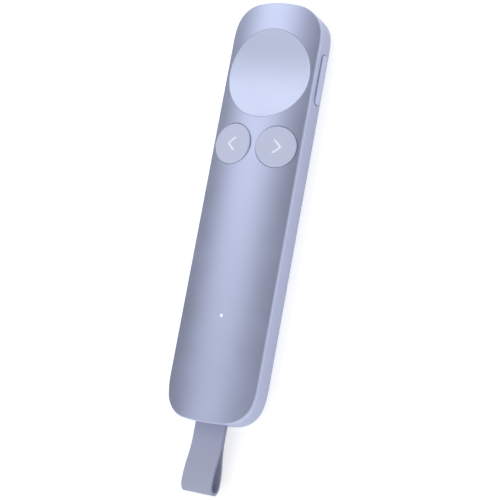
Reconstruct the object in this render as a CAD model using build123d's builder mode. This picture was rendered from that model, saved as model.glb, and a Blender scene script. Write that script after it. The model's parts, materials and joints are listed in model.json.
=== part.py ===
from build123d import *
import os
from math import asin, cos, degrees, radians, sin, sqrt, tan

# Wireless presentation clicker, lying on its back.
# X runs across the body, Y along it (towards the pointer end), Z out of the front face.
# The origin is on the resting plane, under the middle of the body. All sizes are in mm.
# The body's thickness isn't set by hand: it follows from the stack of pieces inside.

# ---- Body --------------------------------------------------------------------------------------
body_length = 125.2
body_width = 28.4
crown_radius = 40.6             # the front is a cylinder that bends across the width
back_edge_radius = 1.5
side_wall = 1.4
back_wall = 1.2
cover_skin = 1.0                # metal of the front cover
cover_rim = 1.0                 # height of the cover's straight rim above the parting line
cover_bevel = 0.3
liner_thickness = 0.8           # plastic liner bonded under the cover
glue_gap = 0.05
fit_gap = 0.05                  # pieces that are pushed or glued into each other

# Each end's outline is three arcs: one over the end, one beside the straight flank, and a corner
# arc that joins them. The turns are degrees, counted from the middle of each end and the flank.
pointer_end_radius = 45.5
pointer_end_turn = 8.5
pointer_flank_radius = 24.6
pointer_flank_turn = 7.9
tail_end_radius = 59.3
tail_end_turn = 6.2
tail_flank_radius = 24.8
tail_flank_turn = 12.4

# ---- Thumb dish: the pointer button ------------------------------------------------------------
dish_length = 27.0
dish_setback = 8.1              # from the pointer end to the dish's rim
dish_margin = 1.16              # from the flank to the dish's rim
dish_gap = 0.06
dish_body = 1.2                 # button's material under the dish
ear_width = 9.0                 # two ears keep the button under the liner
ear_reach = 1.2
ear_thickness = 0.7

# ---- Back and next buttons ---------------------------------------------------------------------
key_dish_gap = 2.3              # from the dish's rim to the keys' rims
key_margin = 1.04               # from the flank to a key's rim
key_bridge = 1.94               # between the two keys
key_rise = 0.1                  # key centre above the crowned face
key_gap = 0.12
key_bevel = 0.2
key_flange = 0.5                # flange beyond the key's edge
key_flange_thickness = 0.6
key_room = 1.0                  # between a switch and the flange above it, on the key's axis

# ---- Side button -------------------------------------------------------------------------------
side_key_length = 15.2
side_key_width = 3.6
side_key_rise = 0.35
side_key_gap = 0.2
side_key_bevel = 0.2
side_flange = 0.6
side_flange_thickness = 0.6
side_floor_gap = 0.4            # between the button's flange and the back wall

# ---- Travel ------------------------------------------------------------------------------------
button_travel = 0.35
press_room = 0.15               # left between a nub and the board at full travel
stop_gap = 0.1                  # between a resting button's flange and what holds it in
wall_clearance = 0.3            # between the side wall and what moves or stands beside it
nub_radius = 1.0
side_nub_radius = 0.8

# ---- Circuit board -----------------------------------------------------------------------------
board_thickness = 0.8
board_side_gap = 1.4            # board's edge to the side wall
board_laser_gap = 2.95          # board's head to the laser
board_dock_gap = 1.9            # board's tail to the dock's inner face
board_corner = 1.5
boss_radius = 2.0
boss_inset = 2.4                # boss centre to the board's side
boss_setback = 3.0              # head bosses to the board's head
boss_key_gap = 11.0             # rear bosses behind the middle of the keys
screw_radius = 0.75
screw_head_radius = 1.4
screw_head_height = 0.7
screw_length = 3.2
ledge_size = (2.4, 4.0)
ledge_inset = 4.0               # rear ledges to the battery's tail

# ---- Parts on the board ------------------------------------------------------------------------
switch_height = 0.6
pointer_switch_size = 5.0
key_switch_size = 4.2
switch_well = 0.5               # clearance round a nub in its switch
side_switch_length = 4.6
side_switch_depth = 2.6
side_switch_gap = 0.5           # side switch to the head boss beside it
processor_size = (6.0, 6.0, 0.85)
motion_size = (3.0, 3.0, 0.9)
chip_key_gap = 20.0             # chip row behind the middle of the keys
chip_gap = 2.5                  # processor to motion sensor
shield_size = (12.0, 9.0, 1.4)
shield_wall = 0.2
antenna_size = (5.0, 2.0, 0.8)
antenna_inset = 1.4             # antenna to the board's side
antenna_setback = 9.0           # antenna to the board's tail
led_size = (1.6, 0.8, 0.5)
led_setback = 30.8              # LED to the tail end

# ---- Light pipe --------------------------------------------------------------------------------
pipe_radius = 0.45
pipe_foot_width = 1.8           # square below the liner
pipe_flange_width = 3.2
pipe_flange_thickness = 0.6

# ---- Battery and motor -------------------------------------------------------------------------
battery_thickness = 3.3
battery_side_gap = 0.7          # to the ledges
battery_boss_gap = 4.0          # to the rear bosses
battery_port_gap = 6.1          # to the charging port
battery_board_gap = 0.4
battery_edge = 1.0
pad_thickness = 0.3
pad_margin = 1.5
motor_radius = 4.0
motor_height = 2.6
motor_key_gap = 2.0             # motor behind the middle of the keys
motor_nest = 0.8                # thickness of the ribs round the motor

# ---- Laser -------------------------------------------------------------------------------------
laser_radius = 2.0
laser_length = 9.0
laser_lens_bore = 1.0
laser_seat = 0.3                # the barrel enters the end wall by this much
window_radius = 1.7
window_thickness = 0.6
window_recess = 0.1
beam_radius = 1.1
saddle_floor = 1.6              # saddle's material under the barrel
saddle_width = 5.4
saddle_length = 7.0

# ---- Receiver, its dock and the pull strap -----------------------------------------------------
receiver_width = 10.4
receiver_thickness = 4.2
receiver_length = 9.2
receiver_corner = 1.4
dock_gap = 0.15
dock_wall = 1.2
dock_floor = 1.35               # dock's material above the back wall
plug_width = 8.3
plug_thickness = 2.5
plug_length = 6.6
plug_sheet = 0.3
plug_slot = (7.0, 1.2, 5.4)
port_gap = 0.1
port_sheet = 0.3
port_back = 0.6
tongue_gap = 0.3                # round the tongue in the plug's slot
tongue_tip_gap = 0.65           # between the tongue's tip and the slot's floor
strap_margin = 0.4              # receiver's side to the strap's edge
strap_thickness = 0.8
strap_reach = 19.9              # how far the loop stands out of the tail end
strap_neck = 3.9                # the two layers lie together over this length
strap_root = 3.5                # held inside the receiver
loop_radius = 2.9               # outer half height of the loop, and of its round end
crotch_height = 0.3             # glue fills the loop's pointed inner end up to this height

# ---- Snap hooks of the liner -------------------------------------------------------------------
hook_setback = 18.6             # rear hooks to the tail end
hook_width = 4.0
hook_thickness = 0.9
hook_drop = 2.6                 # below the parting line
hook_barb = 0.45
hook_gap = 0.1

# ---- Across the body ---------------------------------------------------------------------------
half_width = body_width / 2
inner_wall_x = half_width - side_wall
dish_half_width = half_width - dish_margin
dish_depth = crown_radius - sqrt(crown_radius**2 - dish_half_width**2)
key_x = (half_width - key_margin + key_bridge / 2) / 2
tilt = asin(key_x / crown_radius)           # each key leans as the crown does under its centre
key_radius = (half_width - key_margin - key_bridge / 2) / (2 * cos(tilt))
key_flange_radius = key_radius + key_flange
board_half_width = inner_wall_x - board_side_gap
boss_x = board_half_width - boss_inset
ledge_x = inner_wall_x - ledge_size[0] / 2
battery_width = 2 * (inner_wall_x - ledge_size[0] - battery_side_gap)
motion_x = -(processor_size[0] + motion_size[0]) / 2 - chip_gap
antenna_x = board_half_width - antenna_inset - antenna_size[0] / 2
strap_width = receiver_width - 2 * strap_margin

# ---- Along the body ----------------------------------------------------------------------------
half_length = body_length / 2
dish_half_length = dish_length / 2
dish_y = half_length - dish_setback - dish_half_length
key_y = dish_y - dish_half_length - key_dish_gap - key_radius
laser_face_y = half_length - side_wall + laser_seat
board_head_y = laser_face_y - fit_gap - laser_length - board_laser_gap
head_boss_y = board_head_y - boss_setback
side_key_y = head_boss_y - boss_radius - side_switch_gap - side_switch_length / 2
rear_boss_y = key_y - boss_key_gap
motor_y = key_y - motor_key_gap
chip_y = key_y - chip_key_gap
led_y = -half_length + led_setback
shield_y = (chip_y + led_y) / 2
dock_face_y = -half_length + receiver_length
port_depth = plug_length + port_gap + port_back
board_tail_y = dock_face_y + board_dock_gap
antenna_y = board_tail_y + antenna_setback
battery_head_y = rear_boss_y - boss_radius - battery_boss_gap
battery_tail_y = dock_face_y + port_depth + battery_port_gap
battery_length = battery_head_y - battery_tail_y
battery_y = (battery_head_y + battery_tail_y) / 2
head_hook_y = (key_y + dish_y) / 2
tail_hook_y = -half_length + hook_setback
hook_rows = [tail_hook_y, (tail_hook_y + head_hook_y) / 2, head_hook_y]
boss_spots = [(side * boss_x, y) for side in (-1, 1) for y in (rear_boss_y, head_boss_y)]
ledge_spots = [
    (side * ledge_x, y) for side in (-1, 1) for y in (battery_y, battery_tail_y + ledge_inset)
]

# ---- Up through the body -----------------------------------------------------------------------
liner_top = cover_skin + glue_gap
liner_depth = liner_top + liner_thickness
key_crown_height = sqrt(crown_radius**2 - key_x**2) + key_rise     # key's top above crown's axis


def crown_drop(reach, depth):
    """Distance along a key's axis from its flat top to the surface that lies depth under the
    crown, at a place that is reach outwards from the axis."""
    x = key_x + reach * cos(tilt)
    z = key_crown_height - reach * sin(tilt)
    along = x * sin(tilt) + z * cos(tilt)
    return along - sqrt(along**2 - x**2 - z**2 + (crown_radius - depth) ** 2)


key_flange_depth = stop_gap + max(
    crown_drop(reach, liner_depth) for reach in (-key_flange_radius, key_flange_radius)
)
key_base_depth = key_flange_depth + key_flange_thickness
battery_z = back_wall + pad_thickness
board_underside = battery_z + battery_thickness + battery_board_gap
board_top = board_underside + board_thickness
nub_bottom_z = board_top + press_room + button_travel
key_top_z = board_top + switch_height + key_room + key_base_depth / cos(tilt)
crown_axis_z = key_top_z - key_crown_height
body_thickness = crown_axis_z + crown_radius       # resting plane to the crest of the front
face_edge_z = crown_axis_z + sqrt(crown_radius**2 - half_width**2)
parting_z = face_edge_z - cover_rim
wall_pass_z = parting_z + button_travel + stop_gap      # buttons pass over the wall above this
dish_floor_z = body_thickness - dish_depth
scoop_radius = (dish_half_length**2 + dish_depth**2) / (2 * dish_depth)
dish_base_z = dish_floor_z - dish_body
side_key_z = back_wall + side_floor_gap + side_flange + side_key_width / 2
laser_z = back_wall + saddle_floor + laser_radius
dock_z = back_wall + dock_floor + dock_gap + receiver_thickness / 2

os.makedirs("parts", exist_ok=True)


# ---- Shapes that several pieces share ----------------------------------------------------------
def across(y):
    """Plane across the body at a station y, facing the tail."""
    return Plane.XZ.offset(-y)


def end_arcs(inset, sign):
    """Half of an end's outline, from the flank at +x round to the middle of the end."""
    end_radius, end_turn, flank_radius, flank_turn = (
        (pointer_end_radius, pointer_end_turn, pointer_flank_radius, pointer_flank_turn)
        if sign > 0
        else (tail_end_radius, tail_end_turn, tail_flank_radius, tail_flank_turn)
    )
    end_sine, corner_sine = sin(radians(end_turn)), cos(radians(flank_turn))
    side_parts = end_radius * end_sine + flank_radius * (1 - corner_sine)
    corner_radius = (half_width - side_parts) / (corner_sine - end_sine)
    end = JernArc((0, sign * (half_length - inset)), (1, 0), end_radius - inset, -sign * end_turn)
    corner_turn = 90 - end_turn - flank_turn
    corner = JernArc(end @ 1, end % 1, corner_radius - inset, -sign * corner_turn)
    return JernArc(corner @ 1, corner % 1, flank_radius - inset, -sign * flank_turn) @ 1


def plan_outline(inset=0.0):
    """Outline of the body seen from the front, drawn in by inset all round."""
    with BuildSketch() as outline:
        with BuildLine():
            Line(end_arcs(inset, 1), end_arcs(inset, -1))
            mirror(about=Plane.YZ)
        make_face()
    return outline.sketch


def wall_ring():
    """The housing's wall and the clearance beside it, seen from the front."""
    with BuildSketch() as ring:
        add(plan_outline())
        add(plan_outline(side_wall + wall_clearance), mode=Mode.SUBTRACT)
    return ring.sketch


def crown_section(depth=0.0):
    """Disc across the body whose rim lies depth under the crowned front."""
    with BuildSketch() as section:
        with Locations((0, crown_axis_z)):
            Circle(crown_radius - depth)
    return section.sketch


def dish_outline(growth=0.0):
    """Oval of four arcs that bounds the thumb dish, seen from the front."""
    shift = (dish_half_length - dish_half_width) / (2 - sqrt(2))
    top = (0, dish_y + dish_half_length + growth)
    with BuildSketch() as outline:
        with BuildLine():
            end = JernArc(top, (1, 0), dish_half_length - shift + growth, -45)
            JernArc(end @ 1, end % 1, dish_half_width + shift + growth, -45)
            mirror(about=Plane.YZ)
            mirror(about=across(dish_y))
        make_face()
    return outline.sketch


def screw_outline(radius):
    """Small twelve-sided outlines at the four bosses, for the screws and their holes."""
    with BuildSketch() as outline:
        with Locations(*boss_spots):
            RegularPolygon(radius, 12)
    return outline.sketch


def key_plane(side):
    """Plane of a key's flat top: side is -1 for the back button and 1 for the next button."""
    return Plane(
        origin=(side * key_x, key_y, key_top_z),
        x_dir=(cos(tilt), 0, -side * sin(tilt)),
        z_dir=(side * sin(tilt), 0, cos(tilt)),
    )


def dock_section(width, thickness, corner):
    """Rounded rectangle on the dock's axis, seen along the body."""
    with BuildSketch() as section:
        with Locations((0, dock_z)):
            RectangleRounded(width, thickness, corner)
    return section.sketch


def finish(piece, name):
    """Label a piece and write it out."""
    piece.part.label = name
    export_step(piece.part, f"parts/{name}.step")


# ---- Rear housing: a tub with its bosses, dock, nests and openings -----------------------------
with BuildPart() as rear_housing:
    with BuildSketch():
        add(plan_outline())
    extrude(amount=parting_z)
    fillet(rear_housing.faces().sort_by(Axis.Z)[0].edges(), radius=back_edge_radius)
    with BuildSketch(Plane.XY.offset(back_wall)):
        add(plan_outline(side_wall))
    extrude(amount=parting_z - back_wall, mode=Mode.SUBTRACT)

    # bosses and ledges that carry the board
    with BuildSketch(Plane.XY.offset(back_wall)):
        with Locations(*boss_spots):
            Circle(boss_radius)
        with Locations(*ledge_spots):
            Rectangle(*ledge_size)
    extrude(amount=board_underside - back_wall)
    with BuildSketch(Plane.XY.offset(board_underside)):
        add(screw_outline(screw_radius + fit_gap))
    extrude(amount=-(screw_length - board_thickness + press_room), mode=Mode.SUBTRACT)

    # square of ribs that the motor sits in
    with BuildSketch(Plane.XY.offset(back_wall)):
        with Locations((0, motor_y)):
            nest_size = 2 * (motor_radius + fit_gap)
            Rectangle(nest_size + 2 * motor_nest, nest_size + 2 * motor_nest)
            Rectangle(nest_size, nest_size, mode=Mode.SUBTRACT)
    extrude(amount=motor_height / 2)

    # saddle under the laser, hollowed to its barrel
    with BuildSketch(Plane.XY.offset(back_wall)):
        with Locations((0, half_length - side_wall - saddle_length / 2)):
            Rectangle(saddle_width, saddle_length)
    extrude(amount=laser_z - back_wall)
    with BuildSketch(across(laser_face_y)):
        with Locations((0, laser_z)):
            Circle(laser_radius + fit_gap)
    extrude(amount=laser_length + 2 * fit_gap, mode=Mode.SUBTRACT)

    # stepped seat for the laser window
    with BuildSketch(across(half_length)):
        with Locations((0, laser_z)):
            Circle(window_radius + fit_gap)
    extrude(amount=window_thickness + window_recess, mode=Mode.SUBTRACT)
    with BuildSketch(across(half_length)):
        with Locations((0, laser_z)):
            Circle(beam_radius)
    extrude(amount=side_wall, mode=Mode.SUBTRACT)

    # dock for the receiver, open at the tail
    with BuildSketch(Plane.XY.offset(back_wall)):
        with Locations((0, dock_face_y - receiver_length / 2)):
            Rectangle(receiver_width + 2 * (dock_gap + dock_wall), receiver_length)
        add(plan_outline(side_wall / 2), mode=Mode.INTERSECT)
    extrude(amount=parting_z - back_wall)
    with BuildSketch(across(dock_face_y)):
        add(
            dock_section(
                receiver_width + 2 * dock_gap,
                receiver_thickness + 2 * dock_gap,
                receiver_corner + dock_gap,
            )
        )
    extrude(amount=receiver_length + fit_gap, mode=Mode.SUBTRACT)

    # slot for the side button
    with BuildSketch(Plane.YZ.offset(half_width - 2 * side_wall)):
        with Locations((side_key_y, side_key_z)):
            SlotOverall(side_key_length + 2 * side_key_gap, side_key_width + 2 * side_key_gap)
    extrude(amount=3 * side_wall, mode=Mode.SUBTRACT)

    # pockets that the liner's hooks snap into
    pocket_height = 2 * hook_barb + 2 * hook_gap
    with BuildSketch(Plane.XY.offset(parting_z - hook_drop - hook_gap)):
        with Locations(*[(side * inner_wall_x, y) for side in (-1, 1) for y in hook_rows]):
            Rectangle(2 * (hook_barb + hook_gap), hook_width + 2 * hook_gap)
    extrude(amount=pocket_height, mode=Mode.SUBTRACT)
finish(rear_housing, "rear_housing")


# ---- Front cover: crowned metal fascia with a bevelled edge ------------------------------------
with BuildPart() as cover_hollow:
    with BuildSketch(Plane.XY.offset(parting_z)):
        add(plan_outline(side_wall))
    extrude(amount=body_thickness - parting_z)
    with BuildSketch(Plane.XZ):
        add(crown_section(cover_skin))
    extrude(amount=half_length, both=True, mode=Mode.INTERSECT)

with BuildPart() as front_cover:
    with BuildSketch(Plane.XY.offset(parting_z)):
        add(plan_outline())
    extrude(amount=body_thickness - parting_z + cover_skin)
    with BuildSketch(Plane.XZ):
        add(crown_section())
    extrude(amount=half_length + side_wall, both=True, mode=Mode.INTERSECT)
    crown = front_cover.faces().filter_by(GeomType.CYLINDER).sort_by(SortBy.AREA)[-1]
    chamfer(crown.edges(), length=cover_bevel)
    add(cover_hollow.part, mode=Mode.SUBTRACT)

    with BuildSketch(Plane.XY.offset(parting_z)):
        add(dish_outline(dish_gap))
    extrude(amount=body_thickness - parting_z, mode=Mode.SUBTRACT)
    for side in (-1, 1):
        with BuildSketch(key_plane(side).offset(cover_skin)):
            Circle(key_radius + key_gap)
        extrude(amount=-(cover_skin + key_base_depth + cover_rim), mode=Mode.SUBTRACT)
    with BuildSketch(Plane.XY.offset(parting_z)):
        with Locations((0, led_y)):
            Circle(pipe_radius + fit_gap)
    extrude(amount=body_thickness - parting_z, mode=Mode.SUBTRACT)
finish(front_cover, "front_cover")


# ---- Liner: plastic sheet bonded under the fascia. The dish parts it into two pieces -----------
with BuildPart() as liner_sheet:
    with BuildSketch(Plane.XY.offset(parting_z - cover_rim)):
        add(plan_outline(side_wall + wall_clearance / 2))
        add(dish_outline(dish_gap), mode=Mode.SUBTRACT)
        with Locations((0, led_y)):
            Circle(pipe_radius + fit_gap, mode=Mode.SUBTRACT)
    extrude(amount=body_thickness - parting_z + cover_rim)
    with BuildSketch(Plane.XZ):
        add(crown_section(liner_top))
        add(crown_section(liner_depth), mode=Mode.SUBTRACT)
    extrude(amount=half_length, both=True, mode=Mode.INTERSECT)
    for side in (-1, 1):
        with BuildSketch(key_plane(side)):
            Circle(key_radius + key_gap)
        extrude(amount=-(key_base_depth + cover_rim), mode=Mode.SUBTRACT)

with BuildPart() as head_liner:
    add(liner_sheet.part)
    split(bisect_by=across(dish_y), keep=Keep.BOTTOM)
finish(head_liner, "head_liner")

with BuildPart() as cover_liner:
    add(liner_sheet.part)
    split(bisect_by=across(dish_y), keep=Keep.TOP)

    # hooks: a blade down the inside of the wall with a barb that springs into its pocket
    blade_x = inner_wall_x - hook_gap
    hook_foot_z = parting_z - hook_drop
    with BuildSketch(mode=Mode.PRIVATE) as hook_profile:
        with BuildLine():
            Polyline(
                (blade_x - hook_thickness, parting_z),
                (blade_x - hook_thickness, hook_foot_z),
                (blade_x - hook_barb, hook_foot_z),
                (blade_x + hook_barb, hook_foot_z + hook_barb),
                (blade_x + hook_barb, hook_foot_z + 2 * hook_barb),
                (blade_x, hook_foot_z + 2 * hook_barb),
                (blade_x, parting_z),
                close=True,
            )
        make_face()
        mirror(about=Plane.YZ)
    for y in hook_rows:
        with BuildSketch(across(y)):
            add(hook_profile.sketch)
        extrude(amount=hook_width / 2, both=True)
finish(cover_liner, "cover_liner")


# ---- Pointer button: the thumb dish ------------------------------------------------------------
with BuildPart() as pointer_button:
    with BuildSketch(Plane.XY.offset(dish_base_z)):
        add(dish_outline())
    extrude(amount=body_thickness - dish_base_z)
    with BuildSketch(Plane.XZ):
        add(crown_section())
    extrude(amount=half_length, both=True, mode=Mode.INTERSECT)
    with BuildSketch(Plane.YZ):
        with Locations((dish_y, dish_floor_z + scoop_radius)):
            Circle(scoop_radius)
    extrude(amount=half_width, both=True, mode=Mode.SUBTRACT)
    with BuildSketch():
        add(wall_ring())
    extrude(amount=wall_pass_z, mode=Mode.SUBTRACT)

    # ears under the liner, and the nub that works the switch
    ear_drop = (ear_width / 2) ** 2 / (2 * (crown_radius - liner_depth))
    ear_top_z = body_thickness - liner_depth - ear_drop - stop_gap
    with BuildSketch(Plane.XY.offset(ear_top_z)):
        with Locations((0, dish_y)):
            Rectangle(ear_width, 2 * (dish_half_length + ear_reach))
            Rectangle(ear_width, 2 * (dish_half_length - ear_reach), mode=Mode.SUBTRACT)
    extrude(amount=-ear_thickness)
    with BuildSketch(Plane.XY.offset(dish_base_z)):
        with Locations((0, dish_y)):
            Circle(nub_radius)
    extrude(amount=nub_bottom_z - dish_base_z)
finish(pointer_button, "pointer_button")


# ---- Back and next buttons: flat discs that lean with the crown --------------------------------
for key_name, side in (("back_button", -1), ("next_button", 1)):
    with BuildPart() as key:
        with BuildSketch(key_plane(side).offset(-key_flange_depth)):
            Circle(key_flange_radius)
        extrude(amount=-key_flange_thickness)
        with BuildSketch():
            with Locations((side * (half_width + key_gap / 2), key_y)):
                Rectangle(body_width, body_width)
            add(plan_outline(side_wall + wall_clearance), mode=Mode.INTERSECT)
        extrude(amount=body_thickness, mode=Mode.INTERSECT)
        with BuildSketch(key_plane(side)):
            Circle(key_radius)
        extrude(amount=-key_flange_depth)
        top = key.faces().sort_by(Axis((0, 0, 0), key_plane(side).z_dir))[-1]
        chamfer(top.edges(), length=key_bevel)
        with BuildSketch():
            add(wall_ring())
        extrude(amount=wall_pass_z, mode=Mode.SUBTRACT)
        nub_length = (key_top_z - nub_bottom_z) / cos(tilt) - key_base_depth - nub_radius * tan(tilt)
        with BuildSketch(key_plane(side).offset(-key_flange_depth)):
            Circle(nub_radius)
        extrude(amount=-(key_flange_thickness + nub_length))
    finish(key, key_name)


# ---- Side button: a pill in the right flank ----------------------------------------------------
side_flange_x = inner_wall_x - stop_gap
with BuildPart() as side_button:
    with BuildSketch(Plane.YZ.offset(side_flange_x)):
        with Locations((side_key_y, side_key_z)):
            SlotOverall(side_key_length, side_key_width)
    extrude(amount=half_width + side_key_rise - side_flange_x)
    chamfer(side_button.faces().sort_by(Axis.X)[-1].edges(), length=side_key_bevel)
    with BuildSketch(Plane.YZ.offset(side_flange_x)):
        with Locations((side_key_y, side_key_z)):
            SlotOverall(side_key_length + 2 * side_flange, side_key_width + 2 * side_flange)
    extrude(amount=-side_flange_thickness)
    with BuildSketch(Plane.YZ.offset(side_flange_x - side_flange_thickness)):
        with Locations((side_key_y, side_key_z)):
            Circle(side_nub_radius)
    extrude(amount=board_half_width - side_flange_x)
finish(side_button, "side_button")


# ---- Main board, with a notch at the tail for the port -----------------------------------------
port_width = plug_width + 2 * (port_gap + port_sheet)
port_thickness = plug_thickness + 2 * (port_gap + port_sheet)
with BuildPart() as main_board:
    with BuildSketch(Plane.XY.offset(board_underside)):
        with Locations((0, (board_head_y + board_tail_y) / 2)):
            RectangleRounded(2 * board_half_width, board_head_y - board_tail_y, board_corner)
        with Locations((0, board_tail_y)):
            notch_depth = dock_face_y + port_depth - board_tail_y
            Rectangle(port_width + 2 * fit_gap, 2 * (notch_depth + fit_gap), mode=Mode.SUBTRACT)
        add(screw_outline(screw_radius + fit_gap), mode=Mode.SUBTRACT)
    extrude(amount=board_thickness)
    with BuildSketch(Plane.XY.offset(board_underside)):
        add(plan_outline(side_wall + wall_clearance))
    extrude(amount=board_thickness, mode=Mode.INTERSECT)
finish(main_board, "main_board")

with BuildPart() as board_screws:
    with BuildSketch(Plane.XY.offset(board_top)):
        add(screw_outline(screw_head_radius))
    extrude(amount=screw_head_height)
    with BuildSketch(Plane.XY.offset(board_top)):
        add(screw_outline(screw_radius))
    extrude(amount=-screw_length)
finish(board_screws, "board_screws")


# ---- Switches: a low frame with a well that the button's nub travels in ------------------------
key_nub_x = key_x - (key_top_z - nub_bottom_z) * tan(tilt)
well_size = 2 * (nub_radius + switch_well)
for switch_name, x, y, size in (
    ("pointer_switch", 0, dish_y, pointer_switch_size),
    ("back_switch", -key_nub_x, key_y, key_switch_size),
    ("next_switch", key_nub_x, key_y, key_switch_size),
):
    with BuildPart() as switch:
        with BuildSketch(Plane.XY.offset(board_top)):
            with Locations((x, y)):
                Rectangle(size, size)
                Rectangle(well_size, well_size, mode=Mode.SUBTRACT)
        extrude(amount=switch_height)
    finish(switch, switch_name)

with BuildPart() as side_switch:
    side_switch_drop = board_underside - side_key_z
    with BuildSketch(Plane.YZ.offset(board_half_width)):
        with Locations((side_key_y, side_key_z)):
            Rectangle(side_switch_length, 2 * side_switch_drop)
    extrude(amount=-side_switch_depth)
    with BuildSketch(Plane.YZ.offset(board_half_width)):
        with Locations((side_key_y, side_key_z)):
            Circle(side_nub_radius + fit_gap)
    extrude(amount=-(button_travel + side_flange_thickness), mode=Mode.SUBTRACT)
finish(side_switch, "side_switch")


# ---- Chips, LED and antenna on the board's top -------------------------------------------------
for chip_name, spot, size in (
    ("processor_chip", (0, chip_y), processor_size),
    ("motion_sensor", (motion_x, chip_y), motion_size),
    ("chip_antenna", (antenna_x, antenna_y), antenna_size),
    ("status_led", (0, led_y), led_size),
):
    with BuildPart() as chip:
        with BuildSketch(Plane.XY.offset(board_top)):
            with Locations(spot):
                Rectangle(size[0], size[1])
        extrude(amount=size[2])
    finish(chip, chip_name)

with BuildPart() as radio_shield:
    with BuildSketch(Plane.XY.offset(board_top)):
        with Locations((0, shield_y)):
            RectangleRounded(shield_size[0], shield_size[1], 2 * shield_wall)
    extrude(amount=shield_size[2])
    with BuildSketch(Plane.XY.offset(board_top)):
        with Locations((0, shield_y)):
            Rectangle(shield_size[0] - 2 * shield_wall, shield_size[1] - 2 * shield_wall)
    extrude(amount=shield_size[2] - shield_wall, mode=Mode.SUBTRACT)
finish(radio_shield, "radio_shield")


# ---- Light pipe: carries the LED's light to the face -------------------------------------------
with BuildPart() as light_pipe:
    pipe_seat_z = body_thickness - liner_depth - glue_gap
    pipe_foot_z = board_top + led_size[2] + fit_gap
    with BuildSketch(Plane.XY.offset(pipe_foot_z)):
        with Locations((0, led_y)):
            Rectangle(pipe_foot_width, pipe_foot_width)
    extrude(amount=pipe_seat_z - pipe_foot_z)
    with BuildSketch(Plane.XY.offset(pipe_seat_z)):
        with Locations((0, led_y)):
            Rectangle(pipe_flange_width, pipe_flange_width)
    extrude(amount=-pipe_flange_thickness)
    with BuildSketch(Plane.XY.offset(pipe_seat_z)):
        with Locations((0, led_y)):
            Circle(pipe_radius)
    extrude(amount=body_thickness - pipe_seat_z)
finish(light_pipe, "light_pipe")


# ---- Battery, its adhesive pad and the vibration motor -----------------------------------------
with BuildPart() as battery_pad:
    with BuildSketch(Plane.XY.offset(back_wall)):
        with Locations((0, battery_y)):
            Rectangle(battery_width - 2 * pad_margin, battery_length - 2 * pad_margin)
    extrude(amount=pad_thickness)
finish(battery_pad, "battery_pad")

with BuildPart() as battery:
    with BuildSketch(Plane.XY.offset(battery_z)):
        with Locations((0, battery_y)):
            Rectangle(battery_width, battery_length)
    extrude(amount=battery_thickness)
    fillet(battery.edges().filter_by(Axis.Y), radius=battery_edge)
finish(battery, "battery")

with BuildPart() as haptic_motor:
    with BuildSketch(Plane.XY.offset(back_wall)):
        with Locations((0, motor_y)):
            Circle(motor_radius)
    extrude(amount=motor_height)
finish(haptic_motor, "haptic_motor")


# ---- Laser: brass barrel behind a round window -------------------------------------------------
with BuildPart() as laser_module:
    with BuildSketch(across(laser_face_y - fit_gap)):
        with Locations((0, laser_z)):
            Circle(laser_radius)
    extrude(amount=laser_length)
    with BuildSketch(across(laser_face_y - fit_gap)):
        with Locations((0, laser_z)):
            Circle(laser_lens_bore)
    extrude(amount=laser_radius, mode=Mode.SUBTRACT)
finish(laser_module, "laser_module")

with BuildPart() as laser_window:
    with BuildSketch(across(half_length - window_recess)):
        with Locations((0, laser_z)):
            Circle(window_radius)
    extrude(amount=window_thickness)
finish(laser_window, "laser_window")


# ---- Charging port, where the receiver's plug also parks ---------------------------------------
port_corner = port_thickness / 2 - fit_gap
with BuildPart() as charging_port:
    with BuildSketch(across(dock_face_y)):
        add(dock_section(port_width, port_thickness, port_corner))
    extrude(amount=-port_depth)
    with BuildSketch(across(dock_face_y)):
        cavity_width = port_width - 2 * port_sheet
        cavity_thickness = port_thickness - 2 * port_sheet
        add(dock_section(cavity_width, cavity_thickness, port_corner - port_sheet))
    extrude(amount=-(port_depth - port_back), mode=Mode.SUBTRACT)
finish(charging_port, "charging_port")

with BuildPart() as port_tongue:
    slot_floor_y = dock_face_y - dock_gap + plug_length - plug_slot[2]
    tongue_root_y = dock_face_y + port_depth - port_back
    with BuildSketch(across(tongue_root_y)):
        with Locations((0, dock_z)):
            Rectangle(plug_slot[0] - 2 * tongue_gap, plug_slot[1] - 2 * tongue_gap)
    extrude(amount=tongue_root_y - slot_floor_y - tongue_tip_gap)
finish(port_tongue, "port_tongue")


# ---- Receiver: body, metal plug and its insulator ----------------------------------------------
with BuildPart() as receiver_body:
    with BuildSketch(across(dock_face_y - dock_gap)):
        add(dock_section(receiver_width, receiver_thickness, receiver_corner))
    extrude(amount=receiver_length)
    with BuildSketch():
        add(plan_outline())
    extrude(amount=body_thickness, mode=Mode.INTERSECT)
    with BuildSketch(across(-half_length + strap_root)):
        with Locations((0, dock_z)):
            Rectangle(strap_width + 2 * fit_gap, 2 * (strap_thickness + fit_gap))
    extrude(amount=strap_root, mode=Mode.SUBTRACT)
finish(receiver_body, "receiver_body")

plug_corner = port_corner - port_sheet - port_gap
with BuildPart() as receiver_plug:
    with BuildSketch(across(dock_face_y - dock_gap)):
        add(dock_section(plug_width, plug_thickness, plug_corner))
        add(
            dock_section(
                plug_width - 2 * plug_sheet,
                plug_thickness - 2 * plug_sheet,
                plug_corner - plug_sheet,
            ),
            mode=Mode.SUBTRACT,
        )
    extrude(amount=-plug_length)
finish(receiver_plug, "receiver_plug")

with BuildPart() as plug_insert:
    with BuildSketch(across(dock_face_y - dock_gap)):
        add(
            dock_section(
                plug_width - 2 * (plug_sheet + fit_gap),
                plug_thickness - 2 * (plug_sheet + fit_gap),
                plug_corner - plug_sheet - fit_gap,
            )
        )
    extrude(amount=-(plug_length - fit_gap))
    with BuildSketch(across(dock_face_y - dock_gap + plug_length)):
        with Locations((0, dock_z)):
            Rectangle(plug_slot[0], plug_slot[1])
    extrude(amount=plug_slot[2], mode=Mode.SUBTRACT)
finish(plug_insert, "plug_insert")


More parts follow.
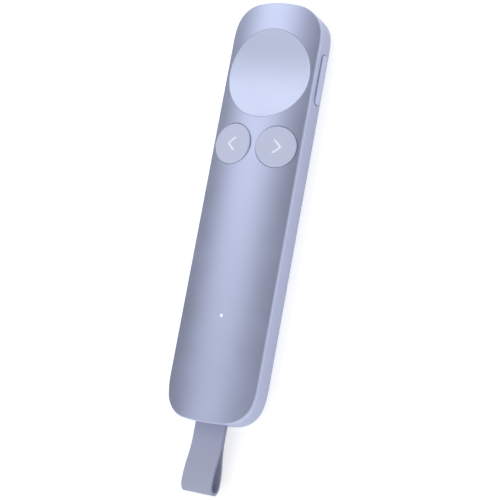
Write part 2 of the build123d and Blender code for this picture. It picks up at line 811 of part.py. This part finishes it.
# ---- Pull strap: a flat band folded into a teardrop loop ---------------------------------------
# Each layer leaves the neck in one arc and comes back level in a second one, of the same radius
# on the outer side, where the loop's round end begins.
fork_y = -half_length - strap_neck
loop_turn_y = -half_length - strap_reach + loop_radius
bow_length = fork_y - loop_turn_y
bow_height = loop_radius - strap_thickness
bow_radius = (bow_length**2 + bow_height**2) / (4 * bow_height)
bow_turn = degrees(asin(bow_length / (2 * bow_radius)))
strap_middle = Plane.XZ.offset(-dock_z)


def loop_half(depth):
    """Upper half of the loop's profile, depth under its outer side, from the neck to the tip."""
    lift = JernArc(
        (fork_y, dock_z + strap_thickness - depth), (-1, 0), bow_radius + depth, -bow_turn
    )
    level = JernArc(lift @ 1, lift % 1, bow_radius - depth, bow_turn)
    JernArc(level @ 1, level % 1, loop_radius - depth, 90)


with BuildPart() as pull_strap:
    with BuildSketch(Plane.YZ):
        with BuildLine():
            loop_half(0)
            mirror(about=strap_middle)
            Line((fork_y, dock_z + strap_thickness), (fork_y, dock_z - strap_thickness))
        make_face()
        with Locations((fork_y + (strap_neck + strap_root) / 2, dock_z)):
            Rectangle(strap_neck + strap_root, 2 * strap_thickness)
    extrude(amount=strap_width / 2, both=True)
    with BuildSketch(Plane.YZ):
        with BuildLine():
            loop_half(strap_thickness)
            mirror(about=strap_middle)
        make_face()
        crotch_length = sqrt((bow_radius + strap_thickness) * crotch_height)
        with Locations((fork_y, dock_z)):
            Rectangle(2 * crotch_length, crotch_height, mode=Mode.SUBTRACT)
    extrude(amount=strap_width / 2, both=True, mode=Mode.SUBTRACT)
finish(pull_strap, "pull_strap")
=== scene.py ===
import json
from math import cos, radians, sin

import bmesh
import bpy
from mathutils import Matrix, Vector


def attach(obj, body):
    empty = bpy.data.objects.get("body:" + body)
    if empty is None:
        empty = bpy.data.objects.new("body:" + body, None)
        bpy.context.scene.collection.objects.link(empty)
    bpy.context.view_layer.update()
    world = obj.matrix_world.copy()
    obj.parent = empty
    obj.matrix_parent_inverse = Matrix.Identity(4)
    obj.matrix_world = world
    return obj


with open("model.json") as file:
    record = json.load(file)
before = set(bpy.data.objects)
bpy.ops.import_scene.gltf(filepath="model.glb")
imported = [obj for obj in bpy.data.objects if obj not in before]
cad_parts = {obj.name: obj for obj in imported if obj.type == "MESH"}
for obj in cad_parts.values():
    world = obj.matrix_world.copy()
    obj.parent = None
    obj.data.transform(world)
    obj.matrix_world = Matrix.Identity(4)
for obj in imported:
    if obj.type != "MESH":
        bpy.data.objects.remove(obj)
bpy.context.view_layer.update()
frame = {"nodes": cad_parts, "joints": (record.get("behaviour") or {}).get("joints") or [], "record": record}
mm = 0.001
white = (1, 1, 1, 1)

# ---- Camera ------------------------------------------------------------------------------------
# The clicker lies on its back. The camera looks down on it, turned towards its right flank. Its turns
# about Y, X and Z are in radians.
camera_yaw = 0.4539
camera_pitch = 0.1403
camera_roll = 0.1822
camera_offset = Vector((1.446, -11.749, 391.585)) * mm     # right, up and back of the target
camera_target = Vector((0, 0, 8.836)) * mm                 # on the front face's edge level
camera_lens = 96.81
camera_sensor = 36
camera_near = 10 * mm


def add_camera():
    """Camera of the main render."""
    turn = (
        Matrix.Rotation(camera_yaw, 3, "Y")
        @ Matrix.Rotation(camera_pitch, 3, "X")
        @ Matrix.Rotation(camera_roll, 3, "Z")
    )
    data = bpy.data.cameras.new("camera")
    data.lens = camera_lens
    data.sensor_width = camera_sensor
    data.clip_start = camera_near
    camera = bpy.data.objects.new("camera", data)
    camera.matrix_world = Matrix.Translation(camera_target + turn @ camera_offset) @ turn.to_4x4()
    bpy.context.collection.objects.link(camera)
    bpy.context.scene.camera = camera


# ---- Node helpers ------------------------------------------------------------------------------
noise_low, noise_high = 0.3, 0.7        # most of a noise's values lie between these


class Nodes:
    """Adds nodes to a tree. A value that is a node's output becomes a link, any other a constant."""

    def __init__(self, tree):
        self.tree = tree
        tree.nodes.clear()

    def add(self, kind, inputs=None, **settings):
        node = self.tree.nodes.new(kind)
        for name, value in settings.items():
            setattr(node, name, value)
        for name, value in (inputs or {}).items():
            if isinstance(value, bpy.types.NodeSocket):
                self.tree.links.new(value, node.inputs[name])
            else:
                node.inputs[name].default_value = value
        return node

    def math(self, operation, *values):
        return self.add("ShaderNodeMath", dict(enumerate(values)), operation=operation).outputs[0]

    def spread(self, value, low, high, to_low=0.0, to_high=1.0):
        """Maps value smoothly from low..high to to_low..to_high."""
        inputs = {"Value": value, "From Min": low, "From Max": high}
        inputs |= {"To Min": to_low, "To Max": to_high}
        return self.add("ShaderNodeMapRange", inputs, interpolation_type="SMOOTHSTEP").outputs[0]

    def noise(self, place, size, detail=3.0):
        """Noise whose grains are about size metres wide."""
        inputs = {"Vector": place, "Scale": 1 / size, "Detail": detail, "Roughness": 0.5}
        return self.add("ShaderNodeTexNoise", inputs).outputs["Fac"]

    def blend(self, share, first, second):
        """Colour that goes from first to second with share."""
        # Several sockets of the Mix node have the same name, so they are chosen by number.
        share_input, first_input, second_input, colour_output = 0, 6, 7, 2
        inputs = {share_input: share, first_input: first, second_input: second}
        return self.add("ShaderNodeMix", inputs, data_type="RGBA").outputs[colour_output]

    def place(self):
        """Where the shaded point lies on the object."""
        return self.add("ShaderNodeTexCoord").outputs["Object"]

    def along(self, heading, direction):
        """How far heading goes in a direction."""
        inputs = {0: heading, 1: Vector(direction)}
        node = self.add("ShaderNodeVectorMath", inputs, operation="DOT_PRODUCT")
        return node.outputs["Value"]


def shade(colour, factor):
    """Colour with its brightness scaled."""
    return tuple(min(part * factor, 1.0) for part in colour) + (1.0,)


def new_material(name):
    """A material with an empty tree, and the helper that fills it."""
    material = bpy.data.materials.new(name)
    material.use_nodes = True
    return material, Nodes(material.node_tree)


def surface(name, colour, roughness, metallic=0.0, grain=0.15 * mm, grain_height=0.002 * mm,
            mottle=0.03, edge_round=0.12 * mm, coat=0.0, sheen=0.0):
    """A finished surface: fine grain, a slow drift of tone and gloss, and softened edges."""
    drift = 9 * mm
    grain_tone = 0.3                # how much the grain darkens
    gloss_range = 0.03              # how far the roughness drifts either way
    material, nodes = new_material(name)
    place = nodes.place()
    fine = nodes.noise(place, grain)
    broad = nodes.noise(place, drift, detail=4.0)
    tone = nodes.blend(broad, shade(colour, 1 - mottle), shade(colour, 1 + mottle))
    darker = nodes.math("MULTIPLY", fine, grain_tone)
    tone = nodes.blend(darker, tone, shade(colour, 1 - 2 * mottle))
    both = nodes.math("ADD", broad, fine)
    smoothest, roughest = roughness - gloss_range, roughness + gloss_range
    gloss = nodes.spread(both, 2 * noise_low, 2 * noise_high, smoothest, roughest)
    rounded = nodes.add("ShaderNodeBevel", {"Radius": edge_round}, samples=4)
    bump = nodes.add("ShaderNodeBump", {
        "Height": fine, "Distance": grain_height, "Strength": 1.0, "Normal": rounded.outputs[0],
    })
    shader = nodes.add("ShaderNodeBsdfPrincipled", {
        "Base Color": tone, "Metallic": metallic, "Roughness": gloss, "Coat Weight": coat,
        "Coat Roughness": 0.25, "Sheen Weight": sheen, "Normal": bump.outputs[0],
    })
    nodes.add("ShaderNodeOutputMaterial", {"Surface": shader.outputs[0]})
    return material


def glow(name, colour, strength):
    """A small surface that shines a little of its own light, slightly unevenly."""
    speckle = 0.4 * mm
    dimmest = 0.92                  # share of the strength between the speckles
    material, nodes = new_material(name)
    fine = nodes.noise(nodes.place(), speckle)
    power = nodes.spread(fine, noise_low, noise_high, dimmest * strength, strength)
    shader = nodes.add("ShaderNodeBsdfPrincipled", {
        "Base Color": colour, "Roughness": 0.2, "Emission Color": colour,
        "Emission Strength": power,
    })
    nodes.add("ShaderNodeOutputMaterial", {"Surface": shader.outputs[0]})
    return material


def board_mask(name):
    """Green solder mask with copper tracks under it."""
    pattern_size = 2.4 * mm         # four rows of tracks
    track_height = 0.02 * mm
    grain = 0.3 * mm
    mask_colour = (0.01, 0.09, 0.05, 1)
    track_colour = (0.03, 0.20, 0.10, 1)
    smoothest, roughest = 0.30, 0.42
    material, nodes = new_material(name)
    place = nodes.place()
    tracks = nodes.add("ShaderNodeTexBrick", {
        "Vector": place, "Scale": 1 / pattern_size, "Mortar Size": 0.06, "Mortar Smooth": 0.3,
    }).outputs["Fac"]
    tone = nodes.blend(tracks, mask_colour, track_colour)
    gloss = nodes.spread(nodes.noise(place, grain), noise_low, noise_high, smoothest, roughest)
    bump = nodes.add("ShaderNodeBump", {"Height": tracks, "Distance": track_height})
    shader = nodes.add("ShaderNodeBsdfPrincipled", {
        "Base Color": tone, "Roughness": gloss, "Normal": bump.outputs[0],
    })
    nodes.add("ShaderNodeOutputMaterial", {"Surface": shader.outputs[0]})
    return material


# ---- Finishes ----------------------------------------------------------------------------------
lavender = (0.577, 0.63, 0.87)
finishes = {
    "fascia": surface("fascia", lavender, 0.36, metallic=0.75),
    # The dish is the fascia's lavender made brighter: the metal's own colour with painted light added over
    # the whole dish.
    "dish_metal": surface("dish_metal", (0.66, 0.72, 0.94), 0.46, metallic=0.7),
    "housing": surface("housing", (0.55, 0.60, 0.83), 0.42, metallic=0.45),
    "keys": surface("keys", (0.71, 0.77, 1.0), 0.45, metallic=0.45),
    "side_key": surface("side_key", (0.66, 0.72, 0.97), 0.40, metallic=0.45),
    "strap": surface("strap", (0.50, 0.53, 0.72), 0.60, grain=0.25 * mm,
                     grain_height=0.008 * mm, edge_round=0.28 * mm, sheen=0.15),
    "receiver": surface("receiver", (0.50, 0.53, 0.72), 0.45),
    "light_pipe": glow("light_pipe", (0.80, 0.86, 1.0, 1), 0.5),
    "led": glow("led", (0.9, 0.95, 1.0, 1), 2.0),
    "window": surface("window", (0.02, 0.02, 0.03), 0.08, coat=0.6, edge_round=0.05 * mm),
    "steel": surface("steel", (0.56, 0.57, 0.58), 0.28, metallic=1.0, grain=0.1 * mm),
    "motor_can": surface("motor_can", (0.50, 0.51, 0.53), 0.32, metallic=1.0),
    "brass": surface("brass", (0.72, 0.52, 0.22), 0.30, metallic=1.0),
    "battery_foil": surface("battery_foil", (0.62, 0.63, 0.66), 0.38, metallic=0.9,
                            grain=0.6 * mm, grain_height=0.02 * mm),
    "foam": surface("foam", (0.05, 0.05, 0.055), 0.9, grain=0.2 * mm, grain_height=0.03 * mm),
    "liner": surface("liner", (0.62, 0.63, 0.66), 0.55),
    "switches": surface("switches", (0.03, 0.03, 0.035), 0.45),
    "chips": surface("chips", (0.015, 0.015, 0.018), 0.35),
    "ceramic": surface("ceramic", (0.80, 0.78, 0.72), 0.40),
    "connector_plastic": surface("connector_plastic", (0.03, 0.03, 0.03), 0.40),
    "circuit_board": board_mask("circuit_board"),
    # The white print on the keys shines a little of its own light: painted light that makes the ink look
    # brighter.
    "glowing_print": glow("glowing_print", (0.82, 0.88, 1.0, 1), 0.32),
}


def finish_nodes():
    """Gives each CAD node the finish of its slot in the record."""
    for part in frame["record"]["subparts"]:
        for slot in frame["nodes"][part["node"]].material_slots:
            slot.material = finishes[part["material_slot"]]


# ---- Signs on the two keys ---------------------------------------------------------------------
sign_height = 4.0 * mm
sign_depth = 2.15 * mm
sign_shift = 0.3 * mm           # the sign's middle lies outwards of the key's middle
sign_stroke = 0.46 * mm
sign_lift = 0.01 * mm           # top of the print above the key
top_band = 0.01 * mm            # points this near to a key's highest one are on its top


def key_top(node, body, side):
    """Middle of a key's flat top, and its directions outwards, along the body and up."""
    joint = next(joint for joint in frame["joints"] if joint["child"] == body)
    up = -Vector(joint["axis"]).normalized()
    outwards = Vector((side * up.z, 0, -side * up.x)).normalized()
    points = [vertex.co for vertex in frame["nodes"][node].data.vertices]
    height = max(point.dot(up) for point in points)
    top = [point for point in points if point.dot(up) > height - top_band]
    return sum(top, Vector()) / len(top), outwards, Vector((0, 1, 0)), up


def add_sign(node, body, side):
    """A printed arrow head on a key's top, whose print shines slightly as painted light. It points to the
    left if side is -1, to the right if 1.
    """
    middle, outwards, along, up = key_top(node, body, side)
    arm = Vector((sign_depth, sign_height / 2))
    half_stroke = sign_stroke / 2 * arm.length / arm.y     # measured across the body
    mesh = bmesh.new()
    for level in (-sign_lift, sign_lift):
        for bend in (half_stroke, -half_stroke):
            tip = sign_shift + sign_depth / 2 + bend
            foot = tip - sign_depth
            for across, length in ((foot, sign_height / 2), (tip, 0), (foot, -sign_height / 2)):
                mesh.verts.new(middle + outwards * across + along * length + up * level)
    mesh.verts.ensure_lookup_table()
    low, high = mesh.verts[:6], mesh.verts[6:]
    rim = [0, 1, 2, 5, 4, 3]                               # out along one edge, back along the other
    for here, there in zip(rim, rim[1:] + rim[:1]):
        mesh.faces.new((low[here], low[there], high[there], high[here]))
    for first in (0, 1):
        for layer in (low, high):
            mesh.faces.new((layer[first], layer[first + 1], layer[first + 4], layer[first + 3]))
    bmesh.ops.recalc_face_normals(mesh, faces=mesh.faces)
    data = bpy.data.meshes.new(f"{node}_sign")
    mesh.to_mesh(data)
    mesh.free()
    sign = bpy.data.objects.new(f"{node}_sign", data)
    bpy.context.collection.objects.link(sign)
    # The print's slight glow is painted light.
    data.materials.append(finishes["glowing_print"])
    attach(sign, body)


# ---- Floor and light ---------------------------------------------------------------------------
floor_reach = 2.0               # from the middle to each edge
floor_drop = 0.02 * mm          # keeps the floor clear of the object's flat back
floor_paint = (0.8, 0.8, 0.8, 1)
floor_lift = 0.60               # light that makes the floor white where it is seen or mirrored


def add_floor():
    """Floor that looks white where no shadow falls."""
    mesh = bpy.data.meshes.new("floor")
    edge, level = floor_reach, -floor_drop
    corners = [(-edge, -edge, level), (edge, -edge, level), (edge, edge, level), (-edge, edge, level)]
    mesh.from_pydata(corners, [], [(0, 1, 2, 3)])
    floor = bpy.data.objects.new("floor", mesh)
    bpy.context.collection.objects.link(floor)
    material, nodes = new_material("floor")
    rays = nodes.add("ShaderNodeLightPath").outputs
    mirrored = nodes.math("MAXIMUM", rays["Is Glossy Ray"], rays["Is Transmission Ray"])
    seen = nodes.math("MAXIMUM", rays["Is Camera Ray"], mirrored)
    lift = nodes.math("MULTIPLY", seen, floor_lift)
    paint = nodes.add("ShaderNodeBsdfDiffuse", {"Color": floor_paint})
    light = nodes.add("ShaderNodeEmission", {"Color": white, "Strength": lift})
    both = nodes.add("ShaderNodeAddShader", {0: paint.outputs[0], 1: light.outputs[0]})
    nodes.add("ShaderNodeOutputMaterial", {"Surface": both.outputs[0]})
    mesh.materials.append(material)


# Soft lights that lie along the body: how far each leans across it from straight up, how far from
# its middle line it is full and where it ends, all in degrees, and then how bright it is towards the
# head, in the middle and towards the tail.
soft_lights = {
    "over_head": ((-29, 4, 42), (1.70, 0.33, 0.42)),
    "over_tail": ((15, 35, 80), (0.12, 0.10, 0.85)),
    "right_fill": ((60, 5, 30), (0.25, 0.18, 0.05)),
}
light_middle = 0.32             # how far along the body a light's middle reaches
light_foot = 0.15               # how far towards its own side a light becomes full
pole_starts, pole_ends = 0.58, 0.85                 # how far along the body the lights run together
sky_limit, pole_limit = 1.8, 0.9                    # most light outside the poles and in them
backdrop_foot, backdrop_top = 0.05, 0.25            # heights between which the backdrop ends


def add_soft_light(nodes, heading, length, angles, powers):
    """Brightness of one soft light in the direction of heading, which goes length along the body."""
    lean, core, edge = map(radians, angles)
    head, middle, tail = powers
    aside = nodes.math("ABSOLUTE", nodes.along(heading, (cos(lean), 0, -sin(lean))))
    band = nodes.spread(aside, sin(edge), sin(core))
    above = nodes.spread(nodes.along(heading, (sin(lean), 0, cos(lean))), 0.0, light_foot)
    band = nodes.math("MULTIPLY", band, above)
    to_head = nodes.spread(length, 0.0, light_middle)
    to_tail = nodes.spread(length, 0.0, -light_middle)
    power = nodes.math("MULTIPLY_ADD", to_head, head - middle, middle)
    power = nodes.math("MULTIPLY_ADD", to_tail, tail - middle, power)
    return nodes.math("MULTIPLY", band, power)


def add_sky():
    """Soft lights along the body, and a white background behind it."""
    world = bpy.data.worlds.new("sky")
    world.use_nodes = True
    bpy.context.scene.world = world
    nodes = Nodes(world.node_tree)
    heading = nodes.add("ShaderNodeTexCoord").outputs["Generated"]
    parts = nodes.add("ShaderNodeSeparateXYZ", {0: heading}).outputs
    length, height = parts["Y"], parts["Z"]
    total = 0.0
    for angles, powers in soft_lights.values():
        light = add_soft_light(nodes, heading, length, angles, powers)
        total = nodes.math("ADD", total, light)
    reach = nodes.math("ABSOLUTE", length)
    limit = nodes.spread(reach, pole_starts, pole_ends, sky_limit, pole_limit)
    lights = nodes.math("MINIMUM", total, limit)

    rays = nodes.add("ShaderNodeLightPath").outputs
    backdrop = nodes.spread(height, backdrop_top, backdrop_foot)
    mirrored = nodes.math("MULTIPLY", rays["Is Glossy Ray"], backdrop)
    seen = nodes.math("MAXIMUM", rays["Is Camera Ray"], rays["Is Transmission Ray"])
    seen = nodes.math("MAXIMUM", seen, mirrored)
    strength = nodes.math("MAXIMUM", lights, seen)
    sky = nodes.add("ShaderNodeBackground", {"Color": white, "Strength": strength})
    nodes.add("ShaderNodeOutputWorld", {"Surface": sky.outputs[0]})


bpy.context.scene.view_settings.view_transform = "Standard"
add_camera()
add_floor()
add_sky()
finish_nodes()
add_sign("back_button", "back_key", -1)
add_sign("next_button", "next_key", 1)
